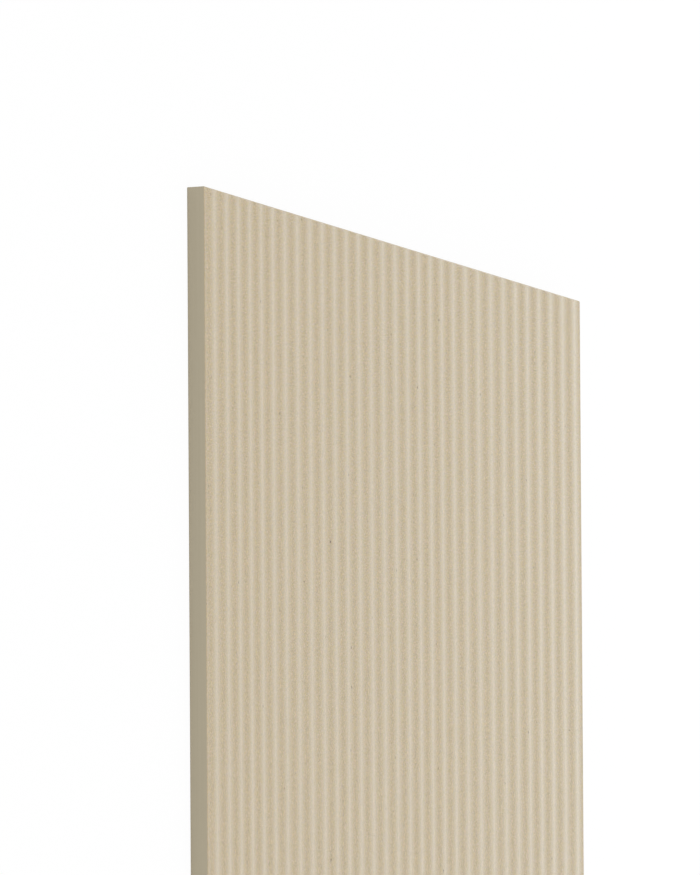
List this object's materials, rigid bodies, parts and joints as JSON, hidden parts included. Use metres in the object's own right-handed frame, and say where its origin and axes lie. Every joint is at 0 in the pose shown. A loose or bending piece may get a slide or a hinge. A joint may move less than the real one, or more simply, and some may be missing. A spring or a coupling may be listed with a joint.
{
  "type": "fluted laminate sheet",
  "caption": "Flat rectangular laminate sheet with a plain back and a face pressed into shallow parallel reeds that run its whole length.",
  "frame": {"origin": "middle of the plain back, on the floor that the sheet lies on", "axes": "+X across the reeds, +Y along the reeds and the sheet's length, +Z out of the fluted face"},
  "size_m": [0.61, 2.44, 0.013],
  "materials": {
    "laminate": "matt, finely sanded, warm beige"
  },
  "bodies": {
    "root": {"fluted_sheet": "laminate"}
  },
  "joints": []
}
